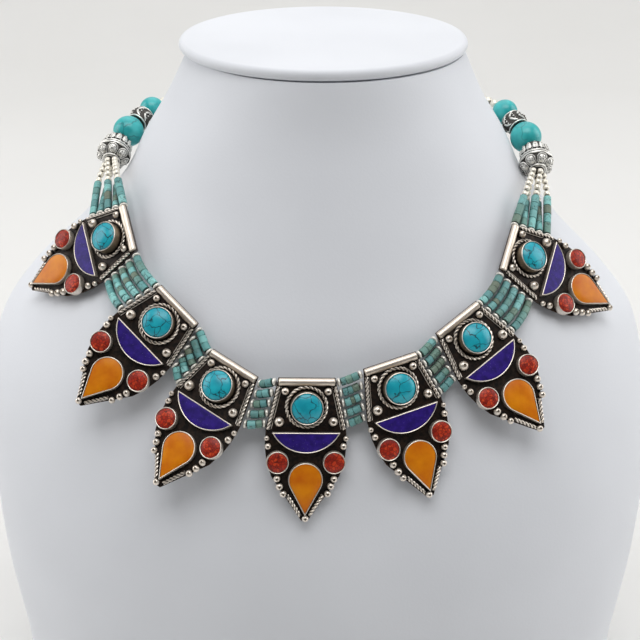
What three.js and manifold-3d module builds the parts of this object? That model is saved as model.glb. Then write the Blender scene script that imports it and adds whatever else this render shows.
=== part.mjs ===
// A seven-plate choker with five bead strands, lying on a plain neck bust.
// Units are millimetres. +X is to the right seen from the front, -Y is the front, +Z is up.
// The origin is the middle of the bust's flat base.

import * as THREE from 'three';
import { mergeVertices } from 'three/addons/utils/BufferGeometryUtils.js';
import Module from 'manifold-3d';

const wasm = await Module();
wasm.setup();

const DEGREE = Math.PI / 180;

// ---------- driving dimensions ----------

const GAP = 0.3; // free space between neighbouring pieces

const BUST_SIDES = 36;
const BUST_RINGS = [
  0, 3, 20, 42, 64, 86, 104, 120, 134, 147, 158, 168, 178, 188, 198, 208, 218, 229, 241.8,
];

// One row for each level of the bust: its height above the base, the half width there, the x of its
// middle, the y of its front, its widest place and its back, and the power of its rounded outline.
const BUST_SECTIONS = [
  { height: 0, halfWidth: 113.5, middle: -0.5, front: -86, widest: -10, back: 72, power: 2.2 },
  { height: 3, halfWidth: 116.5, middle: -0.5, front: -88.5, widest: -10, back: 75, power: 2.2 },
  { height: 30, halfWidth: 119, middle: 0, front: -91, widest: -9, back: 79, power: 2.2 },
  { height: 62, halfWidth: 123.5, middle: 0, front: -92, widest: -8, back: 83, power: 2.1 },
  { height: 92, halfWidth: 126, middle: 0, front: -87.5, widest: -5, back: 87, power: 2 },
  { height: 118, halfWidth: 126, middle: -0.5, front: -78, widest: 0, back: 90, power: 1.95 },
  { height: 136, halfWidth: 123.5, middle: -1, front: -69.5, widest: 4, back: 91, power: 1.9 },
  { height: 152, halfWidth: 118.2, middle: -0.7, front: -62, widest: 8, back: 91, power: 1.8 },
  { height: 166, halfWidth: 107, middle: -0.8, front: -54.5, widest: 13, back: 90.5, power: 1.8 },
  { height: 180, halfWidth: 91.5, middle: -0.1, front: -46, widest: 19, back: 90, power: 1.8 },
  { height: 196, halfWidth: 76, middle: 1.5, front: -37, widest: 25, back: 89, power: 1.9 },
  { height: 212, halfWidth: 67.3, middle: 1.8, front: -29, widest: 30, back: 88.5, power: 1.95 },
  { height: 226, halfWidth: 58.5, middle: 1.8, front: -23, widest: 33, back: 88, power: 2 },
  { height: 241.8, halfWidth: 50.8, middle: 2.2, front: -18.5, widest: 34.5, back: 87, power: 2 },
];

const DISC_MIDDLE = 1.2; // its x
const DISC_RADIUS = 53;
const DISC_THICKNESS = 4;
const DISC_EDGE = 1.6; // radius of its padded edge
const DISC_SIDES = 36;

const PLATE_THICKNESS = 2.8;
const PLATE_SLOPE = 1.2; // how far the box's sides draw in towards its back
const SEAT_GAP = 0.5; // between a plate's back and the chest
// Right half of the plate's outline, from its top corner to its point. The plate's own axes are
// x to the right, y up to the bar and z out of its face, with the cabochon's middle at the origin.
const PLATE_OUTLINE = [
  { x: 9.25, y: 9.6 },
  { x: 13.15, y: -7.4 },
  { x: 13.4, y: -13 },
  { x: 12.8, y: -18 },
  { x: 11.2, y: -23 },
  { x: 1.1, y: -37.8 },
];
const BAR = { length: 18.3, radius: 1.35, y: 8.1, sunk: 0.01 };

const BEZEL_WALL = 0.4;
const BEZEL_ROOT = 1; // how deep a bezel is soldered into the plate
const CABOCHON = { radius: 5.5, bezelHeight: 4, top: 5.2, sides: 16 };
const DOME = { shoulder: 1.2, crown: 3 }; // how far the dome's two steps draw in
const CORAL = { radius: 3.7, x: 9.25, y: -18, bezelHeight: 2.6, top: 3.1, sides: 10 };
const HALF_MOON = { halfLength: 11.1, depth: 6.8, y: -8.2, bezelHeight: 2, top: 1.9 };
const DROP = { radius: 5.65, y: -23.8, tip: -35.8, bezelHeight: 2.2, top: 2.1 };

const STONE_ARCS = 10; // straight pieces round the half moon's and the drop's curves

const STRAND_COUNT = 5;
const STRAND_PITCH = 3.4;
const STRAND_TOP_Y = 7.9; // the first strand's place on the plate's side
const STRAND_SIDES = 6;
const TUBE_RADIUS = 1.45; // turquoise heishi
const TUBE_LENGTH = 4;
const SILVER_RADIUS = 1.05; // silver beads in front of the cap bead
const THREAD_RADIUS = 0.42;
const CHANNEL_RADIUS = 0.9; // the holes that the threads run through
const EXIT_ROOM = 0.4; // from a plate's slanting side to the first tube's middle line
const LINK_PULLS = { leave: 0.3, arrive: 0.3 }; // how far a strand keeps its direction, as shares
// Where the end strands turn from turquoise tubes to silver beads: the middle strand's share of the
// way to the cap bead, how much further each strand's place is than the one before, their spacing
// side by side, how far all of them lie towards the neck and the two behind lie away from it, half
// the distance between the front and the back layer, and how far they arch off the straight line.
const GATHER = {
  share: 0.5, slant: 0.05, pitch: 2.4, shift: 1, behind: 0.9, stagger: 1.6, lift: 0.6,
};

// One row for each plate, left to right: where the cabochon's middle is, seen from the front, and
// how the plate turns about the vertical, leans back and swings in its own plane, in degrees.
const PLATES = [
  { x: -73.2, height: 187, turn: -38, lean: 34.8, swing: -47.4 },
  { x: -53.6, height: 168.3, turn: -6.6, lean: 33.9, swing: -42 },
  { x: -32.8, height: 152.7, turn: -15.3, lean: 38.6, swing: -23.4 },
  { x: -4.4, height: 148.9, turn: 4.6, lean: 20.3, swing: -2.7 },
  { x: 25.5, height: 152.9, turn: 12.9, lean: 23.8, swing: 12.1 },
  { x: 51.2, height: 163.4, turn: 15.4, lean: 35.6, swing: 29.6 },
  { x: 72.2, height: 181.4, turn: 34.1, lean: 36.4, swing: 48 },
];

const CAP = { radius: 6.6, length: 10.6, mouth: 2.6, rim: 1, crown: 4.5, mouthDepth: 1.5, sides: 16 };
const ROUND = { radius: 6, backRadius: 5, sides: 12, arcs: 7 }; // the one by the cap is bigger
const RONDELLE = { radius: 4.6, flank: 3.4, length: 4.6, band: 1.84, sides: 12 };
const BEAD_GAP = 0.5; // between these three kinds of bead, which turn a little against each other
const SMALL_BEAD = { radius: 1.7, neck: 0.9, length: 3.6 };
const SMALL_BEAD_STATIONS = [
  { share: 0, radius: SMALL_BEAD.neck },
  { share: 0.3, radius: SMALL_BEAD.radius },
  { share: 0.7, radius: SMALL_BEAD.radius },
];
const CLASP = { radius: 2.6, length: 13, chamfer: 1.2, end: 1.8, sides: 12 };

// Where the five strands' last beads lie before the cap bead's mouth: three in front of two.
const MOUTH_PLACES = [
  { across: 1.95, out: 0.6 },
  { across: 1.2, out: -1.65 },
  { across: 0, out: 2 },
  { across: -1.2, out: -1.65 },
  { across: -1.95, out: 0.6 },
];

const MOUTH_ROOM = 1.2; // from the last beads to the cap bead
const MOUTH_DRAW = 0.6; // how near each other the threads come inside the mouth, as a share

// The end of a strand from the plate to the cap bead: turquoise tubes first, silver beads after.
const END_STATIONS = [
  { share: 0, radius: TUBE_RADIUS },
  { share: 0.16, radius: TUBE_RADIUS },
  { share: 0.32, radius: TUBE_RADIUS },
  { share: 0.48, radius: TUBE_RADIUS },
  { share: 0.54, radius: SILVER_RADIUS },
  { share: 0.7, radius: SILVER_RADIUS },
  { share: 0.85, radius: SILVER_RADIUS },
  { share: 1, radius: SILVER_RADIUS },
];

// Where the single strings run round the neck, from the cap bead to the back: the angle from +X
// round to the back, the height and how far the string's middle is off the bust.
const NECK_FRONTS = {
  left: [
    { angle: -3.2, height: 198.7, off: 6.8 },
    { angle: 0.8, height: 200.7, off: 7.6 },
    { angle: 8.3, height: 206.3, off: 6.6 },
    { angle: 14.6, height: 209, off: 5.2 },
    { angle: 20.4, height: 211.4, off: 5.5 },
    { angle: 27.5, height: 213.4, off: 4.3 },
  ],
  right: [
    { angle: -9.3, height: 197.6, off: 6.2 },
    { angle: -5.6, height: 199.9, off: 7.2 },
    { angle: 2, height: 206, off: 6.8 },
    { angle: 7.9, height: 209.3, off: 5.2 },
    { angle: 13.2, height: 212.2, off: 5.5 },
    { angle: 20, height: 213.8, off: 4.3 },
  ],
};
const NECK_BACK = [
  { angle: 38, height: 215.5, off: 3.2 },
  { angle: 60, height: 218, off: 3 },
  { angle: 90, height: 219.5, off: 3.3 },
];
const SIDES = [{ name: 'left', sign: -1 }, { name: 'right', sign: 1 }];

// ---------- colours ----------

function material(color, roughness, metalness = 0) {
  return new THREE.MeshStandardMaterial({ color, roughness, metalness });
}

const MATERIALS = {
  leatherette: material(0xc4c6cc, 0.65),
  silver: material(0x8d857a, 0.35, 1),
  turquoise: material(0x2f9aa6, 0.35),
  heishi: material(0x5fa39c, 0.6),
  lapis: material(0x2a1a66, 0.4),
  coral: material(0xa83c22, 0.45),
  amber: material(0xc47a0c, 0.35),
};

// ---------- solids and meshes ----------

const choker = new THREE.Group();

function addMesh(parent, name, geometry, meshMaterial) {
  const mesh = new THREE.Mesh(geometry, meshMaterial.clone());
  mesh.name = name;
  parent.add(mesh);
  return mesh;
}

function toSolid(geometry) {
  const bare = geometry.clone();
  bare.deleteAttribute('normal');
  bare.deleteAttribute('uv');
  const merged = mergeVertices(bare, 1e-4);
  return new wasm.Manifold(new wasm.Mesh({
    numProp: 3,
    vertProperties: merged.attributes.position.array,
    triVerts: Uint32Array.from(merged.index.array),
  }));
}

function toGeometry(solid) {
  const mesh = solid.getMesh();
  const geometry = new THREE.BufferGeometry();
  geometry.setAttribute('position', new THREE.BufferAttribute(mesh.vertProperties, 3));
  geometry.setIndex(new THREE.BufferAttribute(mesh.triVerts, 1));
  return geometry;
}

function extrude(shape, bottom, top) {
  const geometry = new THREE.ExtrudeGeometry(shape, { depth: top - bottom, bevelEnabled: false });
  return geometry.translate(0, 0, bottom);
}

// A closed skin over rings of points, all with the same number of points.
function loft(rings) {
  const sides = rings[0].length;
  const positions = rings.flat().flatMap((point) => point.toArray());
  const faces = [];
  for (let ring = 0; ring + 1 < rings.length; ring++) {
    for (let side = 0; side < sides; side++) {
      const a = ring * sides + side;
      const b = ring * sides + (side + 1) % sides;
      faces.push(a, b, b + sides, a, b + sides, a + sides);
    }
  }
  const last = (rings.length - 1) * sides;
  for (let side = 1; side + 1 < sides; side++) {
    faces.push(0, side + 1, side);
    faces.push(last, last + side, last + side + 1);
  }
  const geometry = new THREE.BufferGeometry();
  geometry.setAttribute('position', new THREE.Float32BufferAttribute(positions, 3));
  geometry.setIndex(faces);
  return geometry;
}

// A round body along a line of stations, each a point and the radius there.
function sweep(stations, sides) {
  const count = stations.length;
  const rings = [];
  let across = null;
  for (let i = 0; i < count; i++) {
    const before = stations[Math.max(i - 2, 0)].point;
    const after = stations[Math.min(i + 2, count - 1)].point;
    const along = after.clone().sub(before).normalize();
    if (across === null) {
      across = new THREE.Vector3(0, 0, 1).cross(along).normalize();
    }
    across = across.clone().addScaledVector(along, -across.dot(along)).normalize();
    const up = along.clone().cross(across);
    const ring = [];
    for (let side = 0; side < sides; side++) {
      const angle = 2 * Math.PI * side / sides;
      ring.push(stations[i].point.clone()
        .addScaledVector(across, stations[i].radius * Math.cos(angle))
        .addScaledVector(up, stations[i].radius * Math.sin(angle)));
    }
    rings.push(ring);
  }
  return loft(rings);
}

// ---------- bust ----------

// Every column of BUST_SECTIONS at a height, on one smooth curve through the rows.
function bustSection(height) {
  const rows = BUST_SECTIONS;
  let low = 0;
  while (low < rows.length - 2 && height > rows[low + 1].height) {
    low++;
  }
  const step = rows[low + 1].height - rows[low].height;
  const t = (height - rows[low].height) / step;
  const section = {};
  for (const column of ['halfWidth', 'middle', 'front', 'widest', 'back', 'power']) {
    const slope = (row) => {
      const a = rows[Math.max(row - 1, 0)];
      const b = rows[Math.min(row + 1, rows.length - 1)];
      return (b[column] - a[column]) / (b.height - a.height);
    };
    section[column] = (1 + 2 * t) * (1 - t) ** 2 * rows[low][column]
      + t * (1 - t) ** 2 * step * slope(low)
      + t * t * (3 - 2 * t) * rows[low + 1][column]
      + t * t * (t - 1) * step * slope(low + 1);
  }
  return section;
}

// The point of the bust's skin at an angle from +X round to the back, and at a height.
function bustPoint(angle, height) {
  const section = bustSection(height);
  const bend = (value) => Math.sign(value) * Math.abs(value) ** (2 / section.power);
  const atFront = angle < 0 || angle > Math.PI;
  const depth = atFront ? section.widest - section.front : section.back - section.widest;
  return new THREE.Vector3(
    section.middle + section.halfWidth * bend(Math.cos(angle)),
    section.widest + depth * bend(Math.sin(angle)),
    height,
  );
}

// The y of the chest's skin straight behind a place seen from the front.
function chestY(x, height) {
  const section = bustSection(height);
  const reach = Math.min(Math.abs(x - section.middle) / section.halfWidth, 1);
  const fall = (1 - reach ** section.power) ** (1 / section.power);
  return section.widest - (section.widest - section.front) * fall;
}

// A point off the skin, along the skin's normal.
function offBust(angle, height, off) {
  const step = 0.02;
  const round = bustPoint(angle + step, height).sub(bustPoint(angle - step, height));
  const up = bustPoint(angle, height + 1).sub(bustPoint(angle, height - 1));
  return bustPoint(angle, height).addScaledVector(round.cross(up).normalize(), off);
}

function bustGeometry() {
  const rings = BUST_RINGS.map((height) => {
    const ring = [];
    for (let side = 0; side < BUST_SIDES; side++) {
      ring.push(bustPoint(2 * Math.PI * side / BUST_SIDES, height));
    }
    return ring;
  });
  return loft(rings);
}

// Turned about Z, with its underside's middle at the origin.
function discGeometry() {
  const profile = [new THREE.Vector2(0, 0)];
  for (const angle of [-90 * DEGREE, -30 * DEGREE, 30 * DEGREE, 90 * DEGREE]) { // the padded edge
    profile.push(new THREE.Vector2(
      DISC_RADIUS - DISC_EDGE + DISC_EDGE * Math.cos(angle),
      DISC_THICKNESS / 2 * (1 + Math.sin(angle)),
    ));
  }
  profile.push(new THREE.Vector2(0, DISC_THICKNESS));
  return new THREE.LatheGeometry(profile, DISC_SIDES).rotateX(Math.PI / 2);
}

addMesh(choker, 'neck_bust', bustGeometry(), MATERIALS.leatherette);
const neckTop = BUST_SECTIONS[BUST_SECTIONS.length - 1];
const disc = addMesh(choker, 'bust_top_disc', discGeometry(), MATERIALS.leatherette);
disc.position.set(DISC_MIDDLE, neckTop.widest, neckTop.height + GAP);

// ---------- plate and its stones ----------

// The plate's outline drawn in by inset on every side, at a depth.
function plateRing(inset, z) {
  const left = PLATE_OUTLINE.map((corner) => new THREE.Vector3(-corner.x, corner.y, z));
  const right = PLATE_OUTLINE.map((corner) => new THREE.Vector3(corner.x, corner.y, z));
  const corners = [...left, ...right.reverse()];
  const edges = corners.map((corner, i) => corners[(i + 1) % corners.length].clone().sub(corner));
  const inward = edges.map((edge) => new THREE.Vector3(-edge.y, edge.x, 0).normalize());
  return corners.map((corner, i) => {
    const before = inward[(i + corners.length - 1) % corners.length];
    const mitre = before.clone().add(inward[i]).divideScalar(1 + before.dot(inward[i]));
    return corner.clone().addScaledVector(mitre, inset);
  });
}

function arc(centreX, centreY, radius, from, to, steps) {
  const points = [];
  for (let i = 0; i <= steps; i++) {
    const angle = from + (to - from) * i / steps;
    const reach = new THREE.Vector2(Math.cos(angle), Math.sin(angle)).multiplyScalar(radius);
    points.push(reach.add(new THREE.Vector2(centreX, centreY)));
  }
  return points;
}

function circle(centreX, centreY, radius, sides) {
  return arc(centreX, centreY, radius, 0, 2 * Math.PI * (sides - 1) / sides, sides - 1);
}

// Each outline takes how far it lies inside the bezel's outer edge.
const STONE_OUTLINES = {
  turquoise_cab: (inset) => circle(0, 0, CABOCHON.radius - inset, CABOCHON.sides),
  coral_left: (inset) => circle(-CORAL.x, CORAL.y, CORAL.radius - inset, CORAL.sides),
  coral_right: (inset) => circle(CORAL.x, CORAL.y, CORAL.radius - inset, CORAL.sides),
  lapis_half_moon: (inset) => {
    const radius = (HALF_MOON.halfLength ** 2 + HALF_MOON.depth ** 2) / (2 * HALF_MOON.depth);
    const centre = HALF_MOON.y + radius - HALF_MOON.depth;
    const half = Math.acos((radius - HALF_MOON.depth + inset) / (radius - inset));
    return arc(0, centre, radius - inset, -Math.PI / 2 - half, -Math.PI / 2 + half, STONE_ARCS);
  },
  amber_drop: (inset) => {
    const half = Math.asin(DROP.radius / (DROP.y - DROP.tip));
    const radius = DROP.radius - inset;
    const round = arc(0, DROP.y, radius, -half, Math.PI + half, STONE_ARCS);
    return [...round, new THREE.Vector2(0, DROP.y - radius / Math.sin(half))];
  },
};

const STONES = [
  { kind: 'turquoise_cab', size: CABOCHON, material: MATERIALS.turquoise, domed: true },
  { kind: 'lapis_half_moon', size: HALF_MOON, material: MATERIALS.lapis },
  { kind: 'coral_left', size: CORAL, material: MATERIALS.coral },
  { kind: 'coral_right', size: CORAL, material: MATERIALS.coral },
  { kind: 'amber_drop', size: DROP, material: MATERIALS.amber },
];

function bezelGeometry(stone) {
  const outline = STONE_OUTLINES[stone.kind];
  const wall = new THREE.Shape(outline(0));
  wall.holes.push(new THREE.Path(outline(BEZEL_WALL)));
  return extrude(wall, -BEZEL_ROOT, stone.size.bezelHeight);
}

// A stone stands on the plate inside its bezel; the cabochon's dome is two narrowing steps.
function stoneGeometry(stone) {
  const outline = STONE_OUTLINES[stone.kind];
  const wallInset = BEZEL_WALL + GAP;
  if (!stone.domed) {
    return extrude(new THREE.Shape(outline(wallInset)), GAP, stone.size.top);
  }
  const levels = [
    { inset: wallInset, z: GAP },
    { inset: wallInset, z: stone.size.bezelHeight - BEZEL_WALL },
    { inset: wallInset + DOME.shoulder, z: stone.size.top - BEZEL_WALL },
    { inset: wallInset + DOME.crown, z: stone.size.top },
  ];
  return loft(levels.map(({ inset, z }) => outline(inset).map((p) => new THREE.Vector3(p.x, p.y, z))));
}

function strandY(strand) {
  return STRAND_TOP_Y - strand * STRAND_PITCH;
}

// Half the plate's width where a strand goes through its slanting sides.
function sideX(y) {
  const [top, shoulder] = PLATE_OUTLINE;
  return top.x + (shoulder.x - top.x) * (top.y - y) / (top.y - shoulder.y);
}

function barGeometry() {
  const half = new THREE.Shape(arc(0, 0, BAR.radius, 0, Math.PI, 6));
  const bar = extrude(half, -BAR.length / 2, BAR.length / 2);
  return bar.rotateX(Math.PI / 2).rotateZ(Math.PI / 2).translate(0, BAR.y, -BAR.sunk);
}

function plateGeometry() {
  let solid = toSolid(loft([plateRing(PLATE_SLOPE, -PLATE_THICKNESS), plateRing(0, 0)]));
  solid = solid.add(toSolid(barGeometry()));
  for (const stone of STONES) {
    solid = solid.add(toSolid(bezelGeometry(stone)));
  }
  const channelLength = 3 * BAR.length; // right through the plate and out on both sides
  for (let strand = 0; strand < STRAND_COUNT; strand++) {
    const channel = new THREE.CylinderGeometry(CHANNEL_RADIUS, CHANNEL_RADIUS, channelLength, STRAND_SIDES);
    channel.rotateZ(Math.PI / 2).translate(0, strandY(strand), -PLATE_THICKNESS / 2);
    solid = solid.subtract(toSolid(channel));
  }
  return toGeometry(solid);
}

// The plate's turn: its z axis is the outward normal and its y axis points up along the chest.
function plateTurn(row) {
  const turn = row.turn * DEGREE;
  const lean = row.lean * DEGREE;
  const normal = new THREE.Vector3(
    Math.sin(turn) * Math.cos(lean),
    -Math.cos(turn) * Math.cos(lean),
    Math.sin(lean),
  );
  const level = new THREE.Vector3(Math.cos(turn), Math.sin(turn), 0);
  const axes = new THREE.Matrix4().makeBasis(level, normal.clone().cross(level), normal);
  const swing = new THREE.Quaternion().setFromAxisAngle(new THREE.Vector3(0, 0, 1), row.swing * DEGREE);
  return new THREE.Quaternion().setFromRotationMatrix(axes).multiply(swing);
}

// A plate laid at its x and height goes back along Y until its back is all but on the chest.
function seatY(row, turn) {
  let y = Infinity;
  for (const corner of plateRing(PLATE_SLOPE, -PLATE_THICKNESS)) {
    for (const share of [0, 0.5, 1]) { // from the plate's middle line out to its edge
      const reach = new THREE.Vector3(share * corner.x, corner.y, corner.z).applyQuaternion(turn);
      y = Math.min(y, chestY(row.x + reach.x, row.height + reach.z) - SEAT_GAP - reach.y);
    }
  }
  return y;
}

const plateSolid = plateGeometry();
const plateGroups = PLATES.map((row, index) => {
  const group = new THREE.Group();
  group.quaternion.copy(plateTurn(row));
  group.position.set(row.x, seatY(row, group.quaternion), row.height);
  const number = index + 1;
  addMesh(group, `plate_${number}`, plateSolid, MATERIALS.silver);
  for (const stone of STONES) {
    addMesh(group, `${stone.kind}_${number}`, stoneGeometry(stone), stone.material);
  }
  group.updateMatrixWorld(true);
  choker.add(group);
  return group;
});

// ---------- single strings behind the cap beads ----------

// The string's middle line on one side; sign is 1 on the right and -1 on the left.
function neckCurve({ name, sign }) {
  const points = [...NECK_FRONTS[name], ...NECK_BACK].map(({ angle, height, off }) => {
    const turn = angle * DEGREE;
    return offBust(sign > 0 ? turn : Math.PI - turn, height, off);
  });
  return new THREE.CatmullRomCurve3(points, false, 'centripetal');
}

function placeAlong(mesh, from, to) {
  const axis = to.clone().sub(from).normalize();
  mesh.quaternion.setFromUnitVectors(new THREE.Vector3(0, 0, 1), axis);
  mesh.position.copy(from).add(to).multiplyScalar(0.5);
}

// Turned pieces have their axis on Z and their middle at the origin.
function turned(profile, sides) {
  const points = profile.map(([radius, z]) => new THREE.Vector2(radius, z));
  return new THREE.LatheGeometry(points, sides).rotateX(Math.PI / 2);
}

function capGeometry() {
  const half = CAP.length / 2;
  return turned([
    [0, -half + CAP.mouthDepth],
    [CAP.mouth, -half + CAP.mouthDepth],
    [CAP.mouth, -half],
    [CAP.mouth + CAP.rim, -half],
    [CAP.radius * 0.93, -half * 0.6],
    [CAP.radius, -half * 0.1],
    [CAP.radius * 0.93, half * 0.45],
    [CAP.radius * 0.77, half * 0.6],
    [CAP.crown, half],
    [CHANNEL_RADIUS, half],
    [CHANNEL_RADIUS, half - CAP.mouthDepth],
    [0, half - CAP.mouthDepth],
  ], CAP.sides);
}

function roundGeometry(radius) {
  const start = Math.asin(CHANNEL_RADIUS / radius);
  const profile = [];
  for (let step = 0; step <= ROUND.arcs; step++) {
    const angle = start + (Math.PI - 2 * start) * step / ROUND.arcs;
    profile.push([radius * Math.sin(angle), -radius * Math.cos(angle)]);
  }
  profile.push(profile[0]);
  return turned(profile, ROUND.sides);
}

function rondelleGeometry() {
  const half = RONDELLE.length / 2;
  return turned([
    [CHANNEL_RADIUS, -half],
    [RONDELLE.flank, -half],
    [RONDELLE.radius, -RONDELLE.band / 2],
    [RONDELLE.radius, RONDELLE.band / 2],
    [RONDELLE.flank, half],
    [CHANNEL_RADIUS, half],
    [CHANNEL_RADIUS, -half],
  ], RONDELLE.sides);
}

function claspGeometry() {
  const half = CLASP.length / 2;
  return turned([
    [0, -half],
    [CLASP.end, -half],
    [CLASP.radius, -half + CLASP.chamfer],
    [CLASP.radius, half - CLASP.chamfer],
    [CLASP.end, half],
    [0, half],
  ], CLASP.sides);
}

function buildNeckString(side) {
  const { name } = side;
  const curve = neckCurve(side);
  const length = curve.getLength();
  const pointAt = (distance) => curve.getPointAt(distance / length);
  const pieces = [
    { node: `cap_bead_${name}`, geometry: capGeometry(), length: CAP.length, paint: MATERIALS.silver },
    { node: `turquoise_round_${name}_1`, geometry: roundGeometry(ROUND.radius),
      length: 2 * ROUND.radius, paint: MATERIALS.turquoise },
    { node: `silver_rondelle_${name}`, geometry: rondelleGeometry(), length: RONDELLE.length,
      paint: MATERIALS.silver },
    { node: `turquoise_round_${name}_2`, geometry: roundGeometry(ROUND.backRadius),
      length: 2 * ROUND.backRadius, paint: MATERIALS.turquoise },
  ];
  let distance = 0;
  const thread = [];
  for (const piece of pieces) {
    const from = pointAt(distance);
    const to = pointAt(distance + piece.length);
    placeAlong(addMesh(choker, piece.node, piece.geometry, piece.paint), from, to);
    distance += piece.length + BEAD_GAP;
    thread.push(from, to);
  }
  // The thread starts inside the cap bead's back and runs through the rounds and the rondelle.
  const capBack = thread[1].clone().lerp(thread[0], (CAP.mouthDepth - GAP) / CAP.length);
  const stations = [capBack, ...thread.slice(2)].map((point) => ({ point, radius: THREAD_RADIUS }));
  const claspReach = length - CLASP.length / 2 - GAP;
  const beads = Math.floor((claspReach - distance) / SMALL_BEAD.length);
  const pitch = (claspReach - distance) / beads;
  for (let bead = 0; bead < beads; bead++) {
    for (const { share, radius } of SMALL_BEAD_STATIONS) {
      stations.push({ point: pointAt(distance + (bead + share) * pitch), radius });
    }
  }
  stations.push({ point: pointAt(claspReach), radius: SMALL_BEAD.neck });
  addMesh(choker, `back_strand_${name}`, sweep(stations, STRAND_SIDES), MATERIALS.silver);
  return curve;
}

const neckCurves = SIDES.map(buildNeckString);

const clasp = addMesh(choker, 'clasp', claspGeometry().rotateY(Math.PI / 2), MATERIALS.silver);
clasp.position.copy(neckCurves[0].getPointAt(1));

// ---------- the five strands ----------

// A smooth curve from a to b that leaves along aWay and arrives along bWay.
function bridge(a, aWay, b, bWay, pulls) {
  const reach = a.distanceTo(b);
  return new THREE.CubicBezierCurve3(
    a,
    a.clone().addScaledVector(aWay, reach * pulls.leave),
    b.clone().addScaledVector(bWay, -reach * pulls.arrive),
    b,
  );
}

function plateExit(group, strand, side) {
  const y = strandY(strand);
  return group.localToWorld(new THREE.Vector3(side * (sideX(y) + EXIT_ROOM), y, -PLATE_THICKNESS / 2));
}

function plateAcross(group) {
  return new THREE.Vector3(1, 0, 0).applyQuaternion(group.quaternion);
}

// Two directions square to a way: out from the chest, and across towards the first strand.
function crossAxes(way, outward, side) {
  const along = way.clone().normalize();
  const out = outward.clone().addScaledVector(along, -outward.dot(along)).normalize();
  return { out, across: along.cross(out).multiplyScalar(-side) };
}

// Stations from a plate's outer side to the cap bead's mouth: turquoise first, silver after.
function endRun(strand, side) {
  const group = side < 0 ? plateGroups[0] : plateGroups[plateGroups.length - 1];
  const curve = neckCurves[side < 0 ? 0 : 1];
  const mouth = curve.getPointAt(0);
  const inward = curve.getTangentAt(0);
  const outward = new THREE.Vector3(0, 0, 1).applyQuaternion(group.quaternion);
  const place = MOUTH_PLACES[strand];
  const middle = (STRAND_COUNT - 1) / 2;
  const start = plateExit(group, middle, side);
  const run = crossAxes(mouth.clone().sub(start), outward, side);
  const shift = place.out < 0 ? GATHER.shift - GATHER.behind : GATHER.shift;
  const gather = start.lerp(mouth, GATHER.share + (strand - middle) * GATHER.slant)
    .addScaledVector(run.across, (middle - strand) * GATHER.pitch + shift)
    .addScaledVector(run.out, Math.sign(place.out) * GATHER.stagger + GATHER.lift);
  const cap = crossAxes(inward, outward, side);
  const spread = cap.across.multiplyScalar(place.across).addScaledVector(cap.out, place.out);
  const end = mouth.clone().addScaledVector(inward, -MOUTH_ROOM).add(spread);
  const inside = mouth.clone()
    .addScaledVector(inward, CAP.mouthDepth / 2)
    .addScaledVector(spread, MOUTH_DRAW);
  const path = [plateExit(group, strand, side), gather, end];
  const line = new THREE.CatmullRomCurve3(path, false, 'centripetal');
  return [
    ...END_STATIONS.map(({ share, radius }) => ({ point: line.getPoint(share), radius })),
    { point: end, radius: THREAD_RADIUS },
    { point: inside, radius: THREAD_RADIUS },
  ];
}

function strandStations(strand) {
  const stations = endRun(strand, -1).reverse();
  plateGroups.forEach((group, index) => {
    const left = plateExit(group, strand, -1);
    const right = plateExit(group, strand, 1);
    stations.push({ point: left, radius: THREAD_RADIUS });
    stations.push({ point: right, radius: THREAD_RADIUS });
    const next = plateGroups[index + 1];
    if (next) {
      const arrive = plateExit(next, strand, -1);
      const steps = Math.max(2, Math.round(right.distanceTo(arrive) / TUBE_LENGTH));
      const link = bridge(right, plateAcross(group), arrive, plateAcross(next), LINK_PULLS);
      for (let step = 0; step <= steps; step++) {
        stations.push({ point: link.getPoint(step / steps), radius: TUBE_RADIUS });
      }
    }
  });
  return [...stations, ...endRun(strand, 1)];
}

for (let strand = 0; strand < STRAND_COUNT; strand++) {
  addMesh(choker, `strand_${strand + 1}`, sweep(strandStations(strand), STRAND_SIDES), MATERIALS.heishi);
}

export default choker;
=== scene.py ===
"""The looks of a plate choker on a plain neck bust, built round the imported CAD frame.

Lengths are in millimetres, apart from the camera, the stage and the lights, which are in metres.
+X is to the right seen from the front, -Y is the front and +Z is up.
"""

import random
from functools import partial
from math import acos, asin, atan2, copysign, cos, degrees, floor, hypot, pi, radians, sin

import bpy
import numpy as np
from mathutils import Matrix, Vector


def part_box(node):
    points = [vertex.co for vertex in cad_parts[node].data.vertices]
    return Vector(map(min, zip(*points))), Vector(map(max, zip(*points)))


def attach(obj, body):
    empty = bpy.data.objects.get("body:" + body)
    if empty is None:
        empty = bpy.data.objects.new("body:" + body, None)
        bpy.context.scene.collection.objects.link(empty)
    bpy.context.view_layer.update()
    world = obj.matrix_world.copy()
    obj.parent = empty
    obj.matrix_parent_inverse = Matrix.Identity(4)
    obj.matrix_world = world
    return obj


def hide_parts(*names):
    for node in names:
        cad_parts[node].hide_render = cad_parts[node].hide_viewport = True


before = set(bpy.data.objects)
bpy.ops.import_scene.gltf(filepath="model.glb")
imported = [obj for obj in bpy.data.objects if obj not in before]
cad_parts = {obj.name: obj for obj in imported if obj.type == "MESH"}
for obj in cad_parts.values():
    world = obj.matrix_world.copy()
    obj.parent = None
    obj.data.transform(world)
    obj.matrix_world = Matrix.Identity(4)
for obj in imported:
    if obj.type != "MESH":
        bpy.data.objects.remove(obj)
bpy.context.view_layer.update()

MM = 0.001
UP = (0, 0, 1)
chance = random.Random(11)


# ----- camera -----

def add_object(name, data):
    thing = bpy.data.objects.new(name, data)
    bpy.context.scene.collection.objects.link(thing)
    return thing


def make_camera():
    data = bpy.data.cameras.new("camera")
    data.lens = 67.5
    data.sensor_width = 36
    camera = add_object("camera", data)
    camera.location = (0, -0.4082, 0.3452)
    camera.rotation_euler = (radians(64), 0, 0)
    bpy.context.scene.camera = camera


make_camera()


# ----- dimensions repeated from the CAD -----

GAP = 0.3  # between neighbouring pieces

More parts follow.
